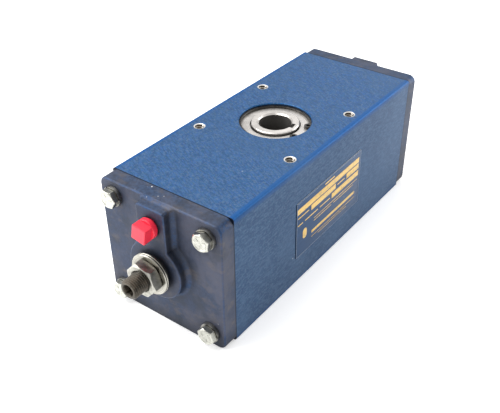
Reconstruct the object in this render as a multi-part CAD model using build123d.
from build123d import *
from math import atan, cos, pi, radians, sin, sqrt, tan
import os

# A single-rack pneumatic rotary actuator: a square housing, two end caps and a hollow keyed pinion.
# Two pistons on one rack turn the pinion; an adjusting screw in each end cap stops the pistons.
# X runs along the cylinder, Z along the pinion, and the origin is on the bottom face, on the pinion's axis.
# The nameplate is on the -Y side, and the front end cap is at -X.

INCH = 25.4

# Driving dimensions, in millimetres.
body_width = 3.125 * INCH
body_length = 182.6
body_edge_radius = 1.6
cylinder_bore = 2.0 * INCH
cap_plate = 0.375 * INCH
boss_height = 6.2
shaft_bore = 0.75 * INCH
key_width = 0.1875 * INCH
key_depth_radius = 12.0
key_turn = 8.0
module = 1.5
pinion_teeth = 22
stroke_angle = 90.0
piston_length = 16.0
mount_spacing = 61.9
cap_screw_spacing = 61.2
adjuster_length = 1.5 * INCH

# Working clearances.
slide_clearance = 0.05
piston_clearance = 0.1
tooth_backlash = 0.12
pressure_angle = 20.0
flank_steps = 4
axial_play = 0.3

# Places that follow from them.
axis_z = body_width / 2
half_length = body_length / 2
cap_face = half_length + cap_plate
boss_face = cap_face + boss_height
bore_radius = cylinder_bore / 2
pitch_radius = module * pinion_teeth / 2
half_stroke = pitch_radius * radians(stroke_angle)
pinion_gear_width = 24.0
rack_width = 22.0

# Bearing stack, measured as depth below the top or bottom face.
recess_radius = 21.0
pinion_end_depth = 1.0
ring_depth = 1.3
ring_thickness = 1.5
ring_groove_radius = 22.3
washer_depth = ring_depth + ring_thickness
washer_thickness = 1.5
washer_gap = 0.8
bearing_depth = washer_depth + washer_thickness
bearing_width = 7.0
shoulder_depth = bearing_depth + bearing_width
shoulder_radius = 19.0
bearing_bore_radius = 15.0
race_wall = 1.7
ball_radius = 1.55
ball_count = 20
ball_circle = (recess_radius + bearing_bore_radius) / 2
groove_radius = ball_radius + slide_clearance
pinion_end_radius = 14.0
pinion_body_radius = 16.4
ring_inner_radius = 19.8
ring_gap = 13.0
ring_ear_angle = 23.0
ring_ear_radius = 2.3
ring_ear_centre = 19.2
recess_chamfer = 0.5
end_chamfer = 0.5
bore_chamfer = 0.8
race_chamfer = 0.3
cage_half_height = 2.4
cage_half_wall = 0.5

# Quarter-inch fastener sizes.
screw_radius = INCH / 8
tapped_radius = 2.6
countersink_radius = 3.9
countersink_depth = 0.45
head_across_flats = 0.375 * INCH
head_height = 3.5
head_face_height = 0.3
lock_washer_radius = 5.7
lock_washer_thickness = 1.8
lock_washer_split = 0.7
cap_screw_length = 0.875 * INCH
cap_screw_tip = 0.8
tap_run_out = 3.0
cap_screw_turns = {"front": (4.0, 0.0, 49.0, 23.0), "rear": (25.0, 8.0, 50.0, 33.0)}

# Adjuster sizes: a 7/16-20 screw, its jam nut and two flat washers.
adjuster_radius = 0.4375 * INCH / 2
thread_hole_radius = adjuster_radius + slide_clearance
nut_across_flats = 0.6875 * INCH
nut_height = 0.25 * INCH
nut_turns = {"front": 168.7, "rear": 48.7}
nut_mouth = 0.8
flat_washer_radius = 11.9
flat_washer_thickness = 1.2
flat_washer_hole = 6.0
flat_washer_edge = 0.3
seal_ring_radius = 9.6
seal_ring_thickness = 2.1
washer_seat = boss_face + seal_ring_thickness
nut_seat = washer_seat + 2 * flat_washer_thickness
socket_across_flats = 0.21875 * INCH
socket_depth = 7.0
socket_turn = 10.0
socket_mouth_radius = 3.6
socket_mouth_depth = 1.0
adjuster_end_chamfer = 0.9
pad_radius = 3.5
pad_thickness = 2.0
pad_stem_radius = 1.5
pad_stem_length = 4.0
pad_stem_play = 0.5

# Rack and piston places at mid-stroke.
piston_outer = 62.5
piston_inner = piston_outer - piston_length
rack_back_radius = 23.4
rack_teeth = 16
rack_screw_y = 19.0
rack_pad_length = 60.0
piston_screw_heights = (-5.5, 5.5)
piston_screw_radius = 2.4
piston_screw_reach = 10.0
piston_screw_socket = 4.0
piston_head_radius = 3.6
piston_head_height = 4.5
piston_head_clearance = 0.2
piston_chamfer = 0.6
seal_start = piston_inner + 7.2
seal_width = 4.0
seal_depth = 3.0
wear_start = piston_inner + 2.0
wear_width = 3.5
wear_depth = 1.6
stop_face = piston_outer + half_stroke + slide_clearance

# End cap outline and port.
cap_corner_radius = 4.5
cap_edge_radius = 1.0
pad_boss_radius = 17.3
tab_half_width = 9.2
tab_top = 38.5
boss_corner_radius = 1.5
boss_edge_radius = 0.9
boss_foot_radius = 3.0
port_height = 27.9
port_radius = 4.9
port_depth = 9.0
passage_radius = 2.0
passage_drop = 5.5
plug_square = 8.6
plug_turn = -10.5
plug_flange_radius = 5.7
plug_gap = 0.6
plug_flange = 2.9
plug_flange_edge = 0.6
plug_head = 5.2
plug_head_edge = 0.45
plug_shank = 7.0
seal_section = 2.6
seal_squeeze = 0.8
cap_seal_radius = 28.0

# Nameplate on the -Y side.
plate_length = 2.75 * INCH
plate_height = 1.5 * INCH
plate_thickness = 0.5
plate_x = -1.5
plate_z = axis_z - 1.5


def rod_x(radius, start, end, y=0.0, z=axis_z):
    """A cylinder along X between two stations."""
    return Pos((start + end) / 2, y, z) * Rot(0, 90, 0) * Cylinder(radius, abs(end - start))


def rod_z(radius, bottom, top, x=0.0, y=0.0):
    """A cylinder along Z between two heights."""
    return Pos(x, y, (bottom + top) / 2) * Cylinder(radius, top - bottom)


def ring_x(outer, inner, start, end, y=0.0, z=axis_z):
    return rod_x(outer, start, end, y, z) - rod_x(inner, start, end, y, z)


def ring_z(outer, inner, bottom, top):
    return rod_z(outer, bottom, top) - rod_z(inner, bottom, top)


def cone_x(radius_start, radius_end, start, end, y=0.0, z=axis_z):
    """A cone frustum along +X, from one radius to the other."""
    return Pos((start + end) / 2, y, z) * Rot(0, 90, 0) * Cone(radius_start, radius_end, end - start)


def face_plane(x, y=0.0, z=axis_z):
    """A sketch plane across the X axis: its own x is +Y and its own y is +Z."""
    return Plane(origin=(x, y, z), x_dir=(0, 1, 0), z_dir=(1, 0, 0))


def hex_prism(across_flats, start, end, turn, y=0.0, z=axis_z):
    """A hexagonal prism along X, with a corner at the given angle from +Y towards +Z."""
    outline = Rot(0, 0, turn) * RegularPolygon(across_flats / sqrt(3), 6)
    return extrude(face_plane(start, y, z) * outline, end - start)


def corner_trim(across_flats, start, end, both_ends, y=0.0, z=axis_z):
    """The chamfered cylinder that takes the corners off a hexagon's outer face, or off both faces."""
    corner = across_flats / sqrt(3)
    face = 0.95 * across_flats / 2
    depth = (corner - face) * tan(radians(30))
    trim = rod_x(corner, start + (depth if both_ends else 0), end - depth, y, z)
    trim += cone_x(corner, face, end - depth, end, y, z)
    if both_ends:
        trim += cone_x(face, corner, start, start + depth, y, z)
    return trim


def place_end(shape, side):
    """Everything at an end is built at +X; the front is the same thing turned about the pinion's axis."""
    return Rot(0, 0, 180) * shape if side == "front" else shape


def place_face(shape, side):
    """Everything in the bearing stack is built at the top; the bottom is its reflection."""
    return shape if side == "upper" else mirror(shape, Plane.XY.offset(axis_z))


def corner_places(spacing):
    return [(sx * spacing / 2, sy * spacing / 2) for sx in (-1, 1) for sy in (-1, 1)]


def bearing_recess():
    """The stepped pocket round the pinion at the top face, with its ring groove."""
    top = body_width
    pocket = rod_z(recess_radius, top - shoulder_depth, top)
    pocket += rod_z(ring_groove_radius, top - washer_depth, top - ring_depth)
    pocket += rod_z(shoulder_radius, axis_z, top - shoulder_depth)
    mouth = Cone(recess_radius, recess_radius + recess_chamfer, recess_chamfer)
    return pocket + Pos(0, 0, top - recess_chamfer / 2) * mouth


def mount_hole(x, y):
    """The upper half of a countersunk mounting hole, which runs right through beside the cylinder."""
    hole = rod_z(tapped_radius, axis_z, body_width, x, y)
    sink = Cone(tapped_radius, countersink_radius, countersink_depth)
    return hole + Pos(x, y, body_width - countersink_depth / 2) * sink


def housing():
    block = Pos(0, 0, axis_z) * Box(body_length, body_width, body_width)
    block = fillet(block.edges().filter_by(Axis.X), body_edge_radius)
    block -= rod_x(bore_radius, -half_length, half_length)
    upper = bearing_recess()
    for x, y in corner_places(mount_spacing):
        upper += mount_hole(x, y)
    for side in ("upper", "lower"):
        block -= place_face(upper, side)
    screw_reach = cap_screw_length - cap_plate - lock_washer_thickness + tap_run_out
    for y, z in corner_places(cap_screw_spacing):
        tapped = rod_x(screw_radius, half_length - screw_reach, half_length, y, axis_z + z)
        block -= place_end(tapped, "rear")
        block -= place_end(tapped, "front")
    return block


def cap_boss():
    """The raised pad round the adjuster, running up into the port's tab and down through the plate."""
    pad = Circle(pad_boss_radius)
    tab = Pos(0, tab_top / 2) * Rectangle(2 * tab_half_width, tab_top)
    boss = extrude(face_plane(half_length) * (pad + tab), cap_plate + boss_height)
    top_corners = boss.edges().filter_by(Axis.X).group_by(Axis.Z)[-1]
    boss = fillet(top_corners, boss_corner_radius)
    return fillet(boss.faces().sort_by(Axis.X)[-1].edges(), boss_edge_radius)


def port_passage():
    """The slanting hole from the bottom of the port down into the cylinder."""
    port_bottom = Vector(boss_face - port_depth, 0, axis_z + port_height - passage_radius / 2)
    cylinder_end = Vector(half_length - 1, 0, axis_z + bore_radius - passage_drop)
    way = cylinder_end - port_bottom
    return extrude(Plane(origin=port_bottom, z_dir=way) * Circle(passage_radius), way.length)


def boss_foot(cap):
    """The edges where the boss meets the plate, apart from the tab's top end."""
    middle = Vector(cap_face, 0, axis_z)
    edges = cap.edges().filter_by_position(Axis.X, cap_face - 0.01, cap_face + 0.01)
    return [edge for edge in edges if (edge.center() - middle).length < tab_top - 1]


def end_cap():
    plate = Pos((half_length + cap_face) / 2, 0, axis_z) * Box(cap_plate, body_width, body_width)
    plate = fillet(plate.edges().filter_by(Axis.X), cap_corner_radius)
    plate = fillet(plate.faces().sort_by(Axis.X)[-1].edges(), cap_edge_radius)
    cap = plate + cap_boss()
    cap = fillet(boss_foot(cap), boss_foot_radius)
    cap -= rod_x(thread_hole_radius, half_length, boss_face)
    cap -= rod_x(port_radius, boss_face - port_depth, boss_face, 0, axis_z + port_height)
    cap -= port_passage()
    cap -= cap_seal()
    for y, z in corner_places(cap_screw_spacing):
        cap -= rod_x(screw_radius + 0.2, half_length, cap_face, y, axis_z + z)
    return cap


def cap_seal():
    """The square-section seal squeezed flat between the cap and the housing."""
    half = seal_section / 2
    depth = seal_squeeze * seal_section
    return ring_x(cap_seal_radius + half, cap_seal_radius - half, half_length, half_length + depth)


def hex_head(start, turn, y, z):
    """A chamfered hexagon head standing on a round washer face."""
    top = start + head_height
    head = hex_prism(head_across_flats, start + head_face_height, top, turn, y, z)
    head &= corner_trim(head_across_flats, start, top, False, y, z)
    return head + rod_x(0.95 * head_across_flats / 2, start, start + head_face_height, y, z)


def cap_screw(turn, y, z):
    seat = cap_face + lock_washer_thickness
    shank = rod_x(screw_radius, seat - cap_screw_length, seat, y, z)
    shank = chamfer(shank.edges().sort_by(Axis.X)[0], cap_screw_tip)
    return shank + hex_head(seat, turn, y, z)


def cap_screws(side):
    turns = cap_screw_turns[side]
    places = corner_places(cap_screw_spacing)
    return [cap_screw(turn, y, axis_z + z) for turn, (y, z) in zip(turns, places)]


def lock_washer(split_turn, y, z):
    """A spring lock washer: a flat ring with one slanting cut."""
    outer = cap_face + lock_washer_thickness
    washer = ring_x(lock_washer_radius, screw_radius + 3 * slide_clearance, cap_face, outer, y, z)
    middle = Pos(cap_face + lock_washer_thickness / 2, y, z) * Rot(split_turn, 0, 0)
    saw = Box(4 * lock_washer_thickness, lock_washer_radius, lock_washer_split)
    return washer - middle * Pos(0, lock_washer_radius, 0) * Rot(0, 25, 0) * saw


def lock_washers():
    places = corner_places(cap_screw_spacing)
    return [lock_washer(40 + 85 * n, y, axis_z + z) for n, (y, z) in enumerate(places)]


def port_plug():
    """A plastic plug, not quite screwed home: threaded shank, round flange and a square head."""
    z = axis_z + port_height
    flange_start = boss_face + plug_gap
    head_start = flange_start + plug_flange
    shank = rod_x(port_radius, boss_face - plug_shank, flange_start, 0, z)
    flange = rod_x(plug_flange_radius, flange_start, head_start, 0, z)
    flange = fillet(flange.edges().filter_by(GeomType.CIRCLE), plug_flange_edge)
    square = Rot(0, 0, plug_turn) * Rectangle(plug_square, plug_square)
    head = extrude(face_plane(head_start, 0, z) * square, plug_head)
    head = fillet(head.edges().filter_by(Axis.X), plug_head_edge)
    head = fillet(head.faces().sort_by(Axis.X)[-1].edges(), plug_head_edge)
    return shank + flange + head


def seal_ring():
    """The rubber ring that seals the adjusting thread under the washers."""
    return ring_x(seal_ring_radius, thread_hole_radius + slide_clearance, boss_face, washer_seat)


def flat_washer(start):
    washer = ring_x(flat_washer_radius, flat_washer_hole, start, start + flat_washer_thickness)
    rims = washer.edges().filter_by(GeomType.CIRCLE).group_by(SortBy.LENGTH)[-1]
    return chamfer(rims, flat_washer_edge)


def jam_nut(side):
    start = nut_seat
    end = start + nut_height
    turn = nut_turns[side]
    nut = hex_prism(nut_across_flats, start, end, turn) & corner_trim(nut_across_flats, start, end, True)
    nut -= rod_x(thread_hole_radius, start, end)
    return nut - cone_x(thread_hole_radius, thread_hole_radius + nut_mouth, end - nut_mouth, end)


def adjusting_screw(side):
    """The headless screw that stops the piston: hexagon socket outside, bored for the pad inside."""
    start = stop_face + pad_thickness
    end = stop_face + adjuster_length
    screw = rod_x(adjuster_radius, start, end)
    screw = chamfer(screw.edges().filter_by(GeomType.CIRCLE), adjuster_end_chamfer)
    screw -= hex_prism(socket_across_flats, end - socket_depth, end, nut_turns[side] + socket_turn)
    screw -= cone_x(socket_across_flats / 2, socket_mouth_radius, end - socket_mouth_depth, end)
    stem_hole = rod_x(pad_stem_radius + slide_clearance, start, start + pad_stem_length + pad_stem_play)
    return screw - stem_hole


def stop_pad():
    """The plastic pad that the piston meets, with its stem in the adjusting screw."""
    pad = rod_x(pad_radius, stop_face, stop_face + pad_thickness)
    back = stop_face + pad_thickness
    return pad + rod_x(pad_stem_radius, back, back + pad_stem_length)


def pinion_blank():
    """The shaft between its two ends, with the gear blank in the middle."""
    top = body_width - pinion_end_depth
    seat_low = body_width - bearing_depth - bearing_width + axial_play
    seat_high = body_width - bearing_depth - axial_play
    half = rod_z(pinion_end_radius, axis_z, top)
    half += rod_z(bearing_bore_radius, axis_z, seat_high)
    half += rod_z(pinion_body_radius, axis_z, seat_low)
    half = chamfer(half.faces().sort_by(Axis.Z)[-1].edges(), end_chamfer)
    return half + mirror(half, Plane.XY.offset(axis_z))


def involute(base_radius, radius):
    """The angle that an involute from the base circle has unwound through at a radius."""
    roll = sqrt((radius / base_radius) ** 2 - 1)
    return roll - atan(roll)


def tooth_outline():
    """One pinion tooth pointing along +Y: two involute flanks, an arc across the tip and a foot."""
    base = pitch_radius * cos(radians(pressure_angle))
    tip = pitch_radius + module
    foot = pitch_radius - 1.25 * module
    half_pitch_angle = (pi * module / 2 - tooth_backlash) / (2 * pitch_radius)
    half_base_angle = half_pitch_angle + involute(base, pitch_radius)
    radii = [base + (tip - base) * step / flank_steps for step in range(flank_steps + 1)]

    def at(radius, angle):
        return (radius * sin(angle), radius * cos(angle))

    right = [at(r, half_base_angle - involute(base, r)) for r in radii]
    left = [(-x, y) for x, y in reversed(right)]
    root_right = at(foot - 0.5, half_base_angle)
    root_left = (-root_right[0], root_right[1])
    edges = Spline(*right)
    edges += ThreePointArc(right[-1], (0, tip), left[0])
    edges += Spline(*left)
    edges += Polyline(left[-1], root_left, root_right, right[0])
    return make_face(edges)


def pinion_gear():
    foot = pitch_radius - 1.25 * module
    gear = Circle(foot)
    tooth = tooth_outline()
    for n in range(pinion_teeth):
        gear += Rot(0, 0, 360 * n / pinion_teeth) * tooth
    return extrude(Plane.XY.offset(axis_z - pinion_gear_width / 2) * gear, pinion_gear_width)


def pinion():
    """The hollow pinion: gear, bearing seats, through bore and a keyway turned a little from -Y."""
    waist = ring_z(pinion_body_radius + 1, pitch_radius - 1.25 * module,
                   axis_z - pinion_gear_width / 2, axis_z + pinion_gear_width / 2)
    blank = pinion_blank() - waist + pinion_gear()
    low = pinion_end_depth
    high = body_width - pinion_end_depth
    bore = rod_z(shaft_bore / 2, low, high)
    mouth = Cone(shaft_bore / 2, shaft_bore / 2 + bore_chamfer, bore_chamfer)
    mouth = Pos(0, 0, high - bore_chamfer / 2) * mouth
    bore += mouth + mirror(mouth, Plane.XY.offset(axis_z))
    keyway = Pos(0, -key_depth_radius / 2, axis_z) * Box(key_width, key_depth_radius, body_width)
    return blank - bore - Rot(0, 0, key_turn) * keyway


def race_groove():
    return Pos(0, 0, body_width - bearing_depth - bearing_width / 2) * Torus(ball_circle, groove_radius)


def outer_race():
    low = body_width - shoulder_depth
    race = ring_z(recess_radius, recess_radius - race_wall, low, low + bearing_width)
    race -= race_groove()
    return chamfer(race.faces().sort_by(Axis.Z)[-1].edges(), race_chamfer)


def inner_race():
    low = body_width - shoulder_depth + axial_play
    high = body_width - bearing_depth - axial_play
    race = ring_z(bearing_bore_radius + race_wall, bearing_bore_radius, low, high)
    return race - race_groove()


def bearing_balls():
    height = body_width - bearing_depth - bearing_width / 2
    ball = Pos(ball_circle, 0, height) * Sphere(ball_radius)
    return [Rot(0, 0, 360 * n / ball_count) * ball for n in range(ball_count)]


def ball_cage():
    height = body_width - bearing_depth - bearing_width / 2
    cage = ring_z(ball_circle + cage_half_wall, ball_circle - cage_half_wall,
                  height - cage_half_height, height + cage_half_height)
    pocket = Rot(0, 90, 0) * Cylinder(ball_radius + slide_clearance, 4 * cage_half_wall)
    pocket = Pos(ball_circle, 0, height) * pocket
    for n in range(ball_count):
        cage -= Rot(0, 0, 360 * n / ball_count) * pocket
    return cage


def retaining_washer():
    low = body_width - bearing_depth
    return ring_z(recess_radius - 0.1, pinion_end_radius + washer_gap, low, low + washer_thickness)


def retaining_ring():
    """An internal snap ring with two eared ends facing -Y."""
    low = body_width - washer_depth
    high = low + ring_thickness
    ring = ring_z(ring_groove_radius - 0.1, ring_inner_radius, low, high)
    gap = Pos(0, -recess_radius, low) * Box(ring_gap, 8, 4 * ring_thickness)
    ring -= gap
    for side in (-1, 1):
        turn = Rot(0, 0, side * ring_ear_angle)
        ear = rod_z(ring_ear_radius, low, high, 0, -ring_ear_centre)
        hole = rod_z(ring_ear_radius / 2, low, high, 0, -ring_ear_centre)
        ring = ring + turn * ear - turn * hole
    return ring


def rack():
    """A bar cut from the round, with straight-sided teeth facing the pinion."""
    pitch = pi * module
    half_tooth = (pitch / 2 - tooth_backlash) / 2
    slope = tan(radians(pressure_angle))
    tip = pitch_radius - module
    foot = pitch_radius + 1.25 * module
    half_tip = half_tooth - module * slope
    half_foot = half_tooth + 1.25 * module * slope
    toothed = rack_teeth * pitch / 2
    points = [(-piston_inner, tip), (-toothed, tip), (-toothed, foot)]
    for n in range(rack_teeth):
        x = (n + 0.5) * pitch - toothed
        points += [(x - half_foot, foot), (x - half_tip, tip)]
        points += [(x + half_tip, tip), (x + half_foot, foot)]
    points += [(toothed, foot), (toothed, tip), (piston_inner, tip)]
    points += [(piston_inner, bore_radius), (-piston_inner, bore_radius)]
    outline = make_face(Polyline(*points, close=True))
    bar = extrude(Plane.XY.offset(axis_z - rack_width / 2) * outline, rack_width)
    bar &= rod_x(rack_back_radius, -piston_inner, piston_inner)
    hole_start = piston_inner - piston_screw_reach - 2 * piston_screw_radius
    for side in ("front", "rear"):
        y = side_y(side, rack_screw_y)
        for z in piston_screw_heights:
            hole = rod_x(piston_screw_radius, hole_start, piston_inner, y, axis_z + z)
            bar -= place_end(hole, side)
    return bar


def side_y(side, y):
    """The y to build at so that a piece lands at the given y once its end is placed."""
    return -y if side == "front" else y


def rack_wear_pad():
    """The plastic strip on the rack's back that slides on the cylinder wall."""
    half = rack_pad_length / 2
    strip = ring_x(bore_radius - piston_clearance, rack_back_radius, -half, half)
    return strip & Pos(0, bore_radius, axis_z) * Box(rack_pad_length, bore_radius, rack_width - 2)


def piston(side):
    body = rod_x(bore_radius - piston_clearance, piston_inner, piston_outer)
    body -= ring_x(bore_radius, bore_radius - seal_depth, seal_start, seal_start + seal_width)
    body -= ring_x(bore_radius, bore_radius - wear_depth, wear_start, wear_start + wear_width)
    y = side_y(side, rack_screw_y)
    seat = piston_outer - piston_head_height
    for z in piston_screw_heights:
        body -= rod_x(piston_screw_radius, piston_inner, piston_outer, y, axis_z + z)
        body -= rod_x(piston_head_radius + piston_head_clearance, seat, piston_outer, y, axis_z + z)
    rim = body.faces().sort_by(Axis.X)[-1].edges().sort_by(SortBy.LENGTH)[-1]
    return chamfer(rim, piston_chamfer)


def piston_seal():
    return ring_x(bore_radius - 0.04, bore_radius - seal_depth, seal_start, seal_start + seal_width)


def piston_wear_ring():
    outer = bore_radius - slide_clearance
    return ring_x(outer, bore_radius - wear_depth, wear_start, wear_start + wear_width)


def piston_screws(side):
    """The socket-head screws that hold a piston to the rack's end."""
    y = side_y(side, rack_screw_y)
    seat = piston_outer - piston_head_height
    screws = []
    for z in piston_screw_heights:
        screw = rod_x(piston_screw_radius, piston_inner - piston_screw_reach, seat, y, axis_z + z)
        screw += rod_x(piston_head_radius, seat, piston_outer - 0.3, y, axis_z + z)
        socket = hex_prism(piston_screw_socket, seat + 1.5, piston_outer, 0, y, axis_z + z)
        screws.append(screw - socket)
    return screws


def nameplate():
    plate = Pos(plate_x, -body_width / 2 - plate_thickness / 2, plate_z) * Box(
        plate_length, plate_thickness, plate_height)
    return fillet(plate.edges().filter_by(Axis.Y), 0.8)


def make_parts():
    parts = {
        "housing": housing(),
        "nameplate": nameplate(),
        "pinion": pinion(),
        "rack": rack(),
        "rack_wear_pad": rack_wear_pad(),
    }
    for side in ("upper", "lower"):
        for name, make in (
            ("bearing_outer_race", outer_race),
            ("bearing_inner_race", inner_race),
            ("bearing_cage", ball_cage),
            ("retaining_washer", retaining_washer),
            ("retaining_ring", retaining_ring),
        ):
            parts[f"{side}_{name}"] = place_face(make(), side)
        parts[f"{side}_bearing_balls"] = Compound([place_face(ball, side) for ball in bearing_balls()])
    for side in ("front", "rear"):
        for name, shape in (
            ("end_cap", end_cap()),
            ("cap_seal", cap_seal()),
            ("port_plug", port_plug()),
            ("adjuster_seal", seal_ring()),
            ("inner_washer", flat_washer(washer_seat)),
            ("outer_washer", flat_washer(washer_seat + flat_washer_thickness)),
            ("jam_nut", jam_nut(side)),
            ("adjusting_screw", adjusting_screw(side)),
            ("stop_pad", stop_pad()),
            ("piston", piston(side)),
            ("piston_seal", piston_seal()),
            ("piston_wear_ring", piston_wear_ring()),
        ):
            parts[f"{side}_{name}"] = place_end(shape, side)
        for name, solids in (
            ("cap_screws", cap_screws(side)),
            ("cap_lock_washers", lock_washers()),
            ("piston_screws", piston_screws(side)),
        ):
            parts[f"{side}_{name}"] = Compound([place_end(solid, side) for solid in solids])
    return parts


os.makedirs("parts", exist_ok=True)
for name, shape in make_parts().items():
    export_step(shape, f"parts/{name}.step")
